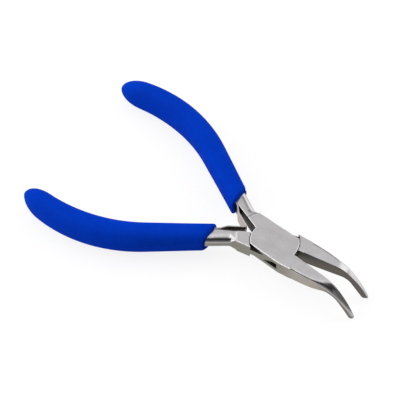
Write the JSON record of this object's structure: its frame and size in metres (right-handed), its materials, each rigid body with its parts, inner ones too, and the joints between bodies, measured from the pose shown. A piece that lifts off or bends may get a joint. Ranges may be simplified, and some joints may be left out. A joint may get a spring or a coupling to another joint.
{
  "type": "needle nose pliers",
  "caption": "Bent-nose box-joint pliers with smooth tapered jaws, a V return spring and blue dipped grips, for gripping and bending fine wire.",
  "frame": {"origin": "on the pivot axis, at the flat underside of the box joint", "axes": "+X along the tool to the jaws, +Y to the box half's handle, +Z along the pivot axis, away from the drooping tips"},
  "size_m": [0.1266, 0.0744, 0.0163],
  "materials": {
    "tool_steel": "satin ground",
    "spring_steel": "rolled",
    "blue_vinyl": "matte dipped"
  },
  "bodies": {
    "box_side": {"box_half": "tool_steel", "pivot_rivet": "tool_steel", "v_spring": "spring_steel", "box_half_grip": "blue_vinyl"},
    "tongue_side": {"tongue_half": "tool_steel", "tongue_half_grip": "blue_vinyl"}
  },
  "joints": [
    {"name": "pivot", "type": "hinge", "parent": "box_side", "child": "tongue_side", "pos_m": [0, 0, 0], "axis": [0, 0, 1], "range_deg": [-14.4, 16], "stiffness_Nm_per_rad": 1.2, "deforming": ["v_spring"]}
  ]
}
